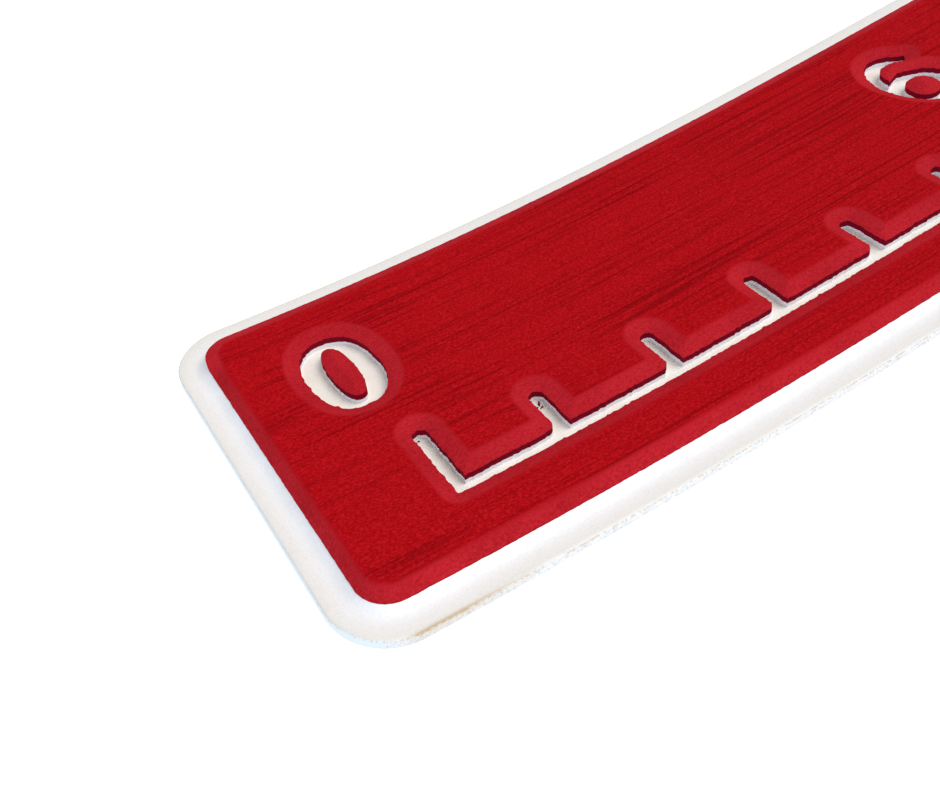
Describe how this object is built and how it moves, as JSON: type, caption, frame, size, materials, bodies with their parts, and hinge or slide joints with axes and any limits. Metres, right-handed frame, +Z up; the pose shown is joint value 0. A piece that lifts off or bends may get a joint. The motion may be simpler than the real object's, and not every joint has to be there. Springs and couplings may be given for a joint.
{
  "type": "foam measuring rule",
  "caption": "Flat two-layer foam measuring rule with a routed inch scale and numerals, an adhesive film and a peel-off release liner.",
  "frame": {"origin": "centre of the bounding box's bottom, which is the level of the release liner's underside", "axes": "+X along the scale from zero upwards, +Y across the rule from the tick line towards the numerals, +Z up out of the face"},
  "size_m": [0.9674, 0.0888, 0.0185],
  "materials": {
    "face_foam": "brushed closed-cell EVA foam, matte",
    "base_foam": "milled closed-cell EVA foam, matte",
    "adhesive": "pressure-sensitive adhesive film",
    "liner_paper": "siliconised release paper"
  },
  "bodies": {
    "rule": {"face_layer": "face_foam", "base_layer": "base_foam", "zero_island": "face_foam", "six_island": "face_foam", "eighteen_island_upper": "face_foam", "eighteen_island_lower": "face_foam", "twenty_four_island": "face_foam", "thirty_island": "face_foam", "thirty_six_island": "face_foam", "adhesive_film": "adhesive"},
    "liner_front": {"release_liner_front": "liner_paper"},
    "liner_back": {"release_liner_back": "liner_paper"}
  },
  "joints": [
    {"name": "liner_front_peel", "type": "hinge", "parent": "rule", "child": "liner_front", "pos_m": [0, -0.04415, 0.0002], "axis": [-1, 0, 0], "range_deg": [0, 180]},
    {"name": "liner_back_peel", "type": "hinge", "parent": "rule", "child": "liner_back", "pos_m": [0, 0.04415, 0.0002], "axis": [1, 0, 0], "range_deg": [0, 180]}
  ]
}
